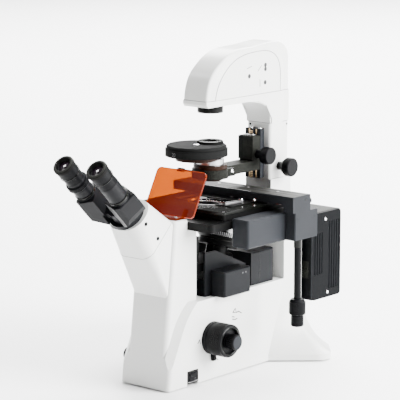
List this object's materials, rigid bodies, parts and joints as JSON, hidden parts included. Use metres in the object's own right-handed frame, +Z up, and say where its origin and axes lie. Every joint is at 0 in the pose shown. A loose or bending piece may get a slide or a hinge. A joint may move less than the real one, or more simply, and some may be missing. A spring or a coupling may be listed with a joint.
{
  "type": "inverted microscope",
  "caption": "Inverted fluorescence microscope: flared stand, inclined binocular head, mechanical stage, tilting illumination column with condenser, and a rear lamp house.",
  "frame": {"origin": "on the table, under the middle of the instrument's overall length and width", "axes": "+Z up; -Y towards the user at the eyepieces; +X towards the stage drive"},
  "size_m": [0.2915, 0.5898, 0.5356],
  "materials": {
    "white_paint": "gloss",
    "rubber": "matt",
    "black_plastic": "satin",
    "black_paint": "crinkle",
    "steel": "brushed",
    "black_gloss": "gloss",
    "black_anodised": "satin anodised",
    "chrome": "polished",
    "orange_acrylic": "clear orange",
    "glass": "polished",
    "brown_metal": "satin"
  },
  "bodies": {
    "stand": {"base_frame": "white_paint", "bottom_plate": "black_paint", "rubber_feet": "rubber", "neck_lower": "white_paint", "neck_upper": "white_paint", "bino_mount_ring": "black_anodised", "shield_holder": "black_plastic", "light_shield": "orange_acrylic", "switch_bezel": "black_plastic", "camera_port_tube": "black_anodised", "c_mount_adapter": "black_anodised", "mains_inlet": "black_plastic", "stage_frame": "black_anodised", "stage_pad": "black_anodised", "stage_plate": "black_gloss", "stage_insert": "chrome", "cross_block": "black_anodised", "filter_housing": "black_paint", "filter_panel": "black_paint", "epi_housing": "black_paint", "epi_tube": "black_anodised", "lamp_shell": "black_paint", "lamp_louvres": "black_paint", "lamp_grille": "steel", "lamp_bulb": "glass", "focus_guide": "steel", "hinge_pin": "steel"},
    "rocker": {"power_rocker": "black_plastic"},
    "dimmer": {"brightness_knob": "black_plastic"},
    "right_prism": {"prism_right": "black_anodised", "eyepiece_right": "black_plastic"},
    "left_prism": {"prism_left": "black_anodised", "eyepiece_left": "black_plastic"},
    "dioptre": {"dioptre_ring": "black_plastic"},
    "coarse": {"coarse_knobs": "black_plastic"},
    "fine": {"fine_knobs": "black_plastic"},
    "tension": {"tension_ring": "black_anodised"},
    "carriage": {"focus_carriage": "black_anodised"},
    "turret": {"nosepiece": "chrome", "objectives": "chrome"},
    "y_stage": {"stage_y_block": "black_anodised", "x_rail": "black_anodised"},
    "y_drive": {"y_knob": "black_plastic"},
    "x_drive": {"x_knob": "black_plastic"},
    "x_stage": {"specimen_holder": "black_anodised"},
    "clip": {"specimen_clip": "steel"},
    "rail_lock": {"rail_lock_knob": "black_plastic"},
    "filter": {"filter_slider": "black_anodised"},
    "column": {"column": "white_paint", "head_lower": "white_paint", "head_upper": "white_paint", "collector": "black_anodised", "condenser_rail": "black_anodised"},
    "clamp": {"clamp_knob": "black_plastic"},
    "condenser": {"condenser_carriage": "black_paint", "condenser_body": "brown_metal", "turret_cover": "black_gloss"},
    "condenser_drive": {"condenser_knob": "black_plastic"},
    "phase": {"phase_turret": "black_anodised"},
    "aperture": {"aperture_ring": "steel"}
  },
  "joints": [
    {"name": "power_switch", "type": "hinge", "parent": "stand", "child": "rocker", "pos_m": [0.049, -0.0795, 0.0152], "axis": [0, 1, 0], "range_deg": [-8, 8]},
    {"name": "brightness", "type": "hinge", "parent": "stand", "child": "dimmer", "pos_m": [-0.052, -0.105, 0.04], "axis": [1, 0, 0], "range_deg": [0, 270]},
    {"name": "eye_spacing_right", "type": "hinge", "parent": "stand", "child": "right_prism", "pos_m": [0, -0.1752, 0.2878], "axis": [0, -0.7071, 0.7071], "range_deg": [-20, 16]},
    {"name": "eye_spacing_left", "type": "hinge", "parent": "stand", "child": "left_prism", "pos_m": [0, -0.1752, 0.2878], "axis": [0, -0.7071, 0.7071], "range_deg": [-16, 20]},
    {"name": "dioptre_turn", "type": "hinge", "parent": "left_prism", "child": "dioptre", "pos_m": [-0.03458, -0.1841, 0.2789], "axis": [0, -0.7071, 0.7071], "range_deg": [-60, 60]},
    {"name": "focus_slide", "type": "slide", "parent": "stand", "child": "carriage", "axis": [0, 0, 1], "range_m": [-0.01, 0.002]},
    {"name": "coarse_focus", "type": "hinge", "parent": "stand", "child": "coarse", "pos_m": [0, -0.03, 0.071], "axis": [1, 0, 0], "range_deg": [-100, 25]},
    {"name": "fine_focus", "type": "hinge", "parent": "stand", "child": "fine", "pos_m": [0, -0.03, 0.071], "axis": [1, 0, 0], "continuous": true},
    {"name": "tension_lever", "type": "hinge", "parent": "stand", "child": "tension", "pos_m": [0.056, -0.03, 0.071], "axis": [1, 0, 0], "range_deg": [-30, 30]},
    {"name": "nosepiece_turn", "type": "hinge", "parent": "carriage", "child": "turret", "pos_m": [0, 0.05363, 0.22935], "axis": [0, 0.309, 0.9511], "continuous": true},
    {"name": "stage_y", "type": "slide", "parent": "stand", "child": "y_stage", "axis": [0, 1, 0], "range_m": [-0.06, 0.002]},
    {"name": "y_knob_turn", "type": "hinge", "parent": "y_stage", "child": "y_drive", "pos_m": [0.134, 0.0894, 0.11], "axis": [0, 0, 1], "range_deg": [-900, 60]},
    {"name": "stage_x", "type": "slide", "parent": "y_stage", "child": "x_stage", "axis": [1, 0, 0], "range_m": [-0.038, 0.038]},
    {"name": "x_knob_turn", "type": "hinge", "parent": "y_stage", "child": "x_drive", "pos_m": [0.134, 0.0894, 0.09], "axis": [0, 0, 1], "range_deg": [-560, 560]},
    {"name": "clip_open", "type": "hinge", "parent": "x_stage", "child": "clip", "pos_m": [0.046, 0.05, 0.285], "axis": [0, 0, 1], "range_deg": [-20, 10]},
    {"name": "rail_lock_turn", "type": "hinge", "parent": "y_stage", "child": "rail_lock", "pos_m": [0.135, 0.109, 0.287], "axis": [0, 1, 0], "range_deg": [-180, 180]},
    {"name": "filter_shift", "type": "slide", "parent": "stand", "child": "filter", "axis": [1, 0, 0], "range_m": [0, 0.04]},
    {"name": "column_tilt", "type": "hinge", "parent": "stand", "child": "column", "pos_m": [0, 0.204, 0.304], "axis": [-1, 0, 0], "range_deg": [0, 40]},
    {"name": "column_clamp", "type": "hinge", "parent": "column", "child": "clamp", "pos_m": [0.025, 0.178, 0.3245], "axis": [1, 0, 0], "range_deg": [-120, 120]},
    {"name": "condenser_slide", "type": "slide", "parent": "column", "child": "condenser", "axis": [0, 0, 1], "range_m": [-0.015, 0.008]},
    {"name": "condenser_focus", "type": "hinge", "parent": "condenser", "child": "condenser_drive", "pos_m": [0.03, 0.1316, 0.3486], "axis": [1, 0, 0], "range_deg": [-290, 160]},
    {"name": "phase_turn", "type": "hinge", "parent": "condenser", "child": "phase", "pos_m": [-0.0067, 0, 0.367], "axis": [0, 0, 1], "continuous": true},
    {"name": "aperture_lever", "type": "hinge", "parent": "condenser", "child": "aperture", "pos_m": [0, 0.027, 0.349], "axis": [0, 0, 1], "range_deg": [-25, 25]}
  ],
  "couplings": [
    {"joint": "eye_spacing_left", "follows": "eye_spacing_right", "ratio": -1},
    {"joint": "coarse_focus", "follows": "focus_slide", "rad_per_m": 166.66},
    {"joint": "y_knob_turn", "follows": "stage_y", "rad_per_m": 251.33},
    {"joint": "x_knob_turn", "follows": "stage_x", "rad_per_m": 251.33},
    {"joint": "condenser_focus", "follows": "condenser_slide", "rad_per_m": 209.44}
  ]
}
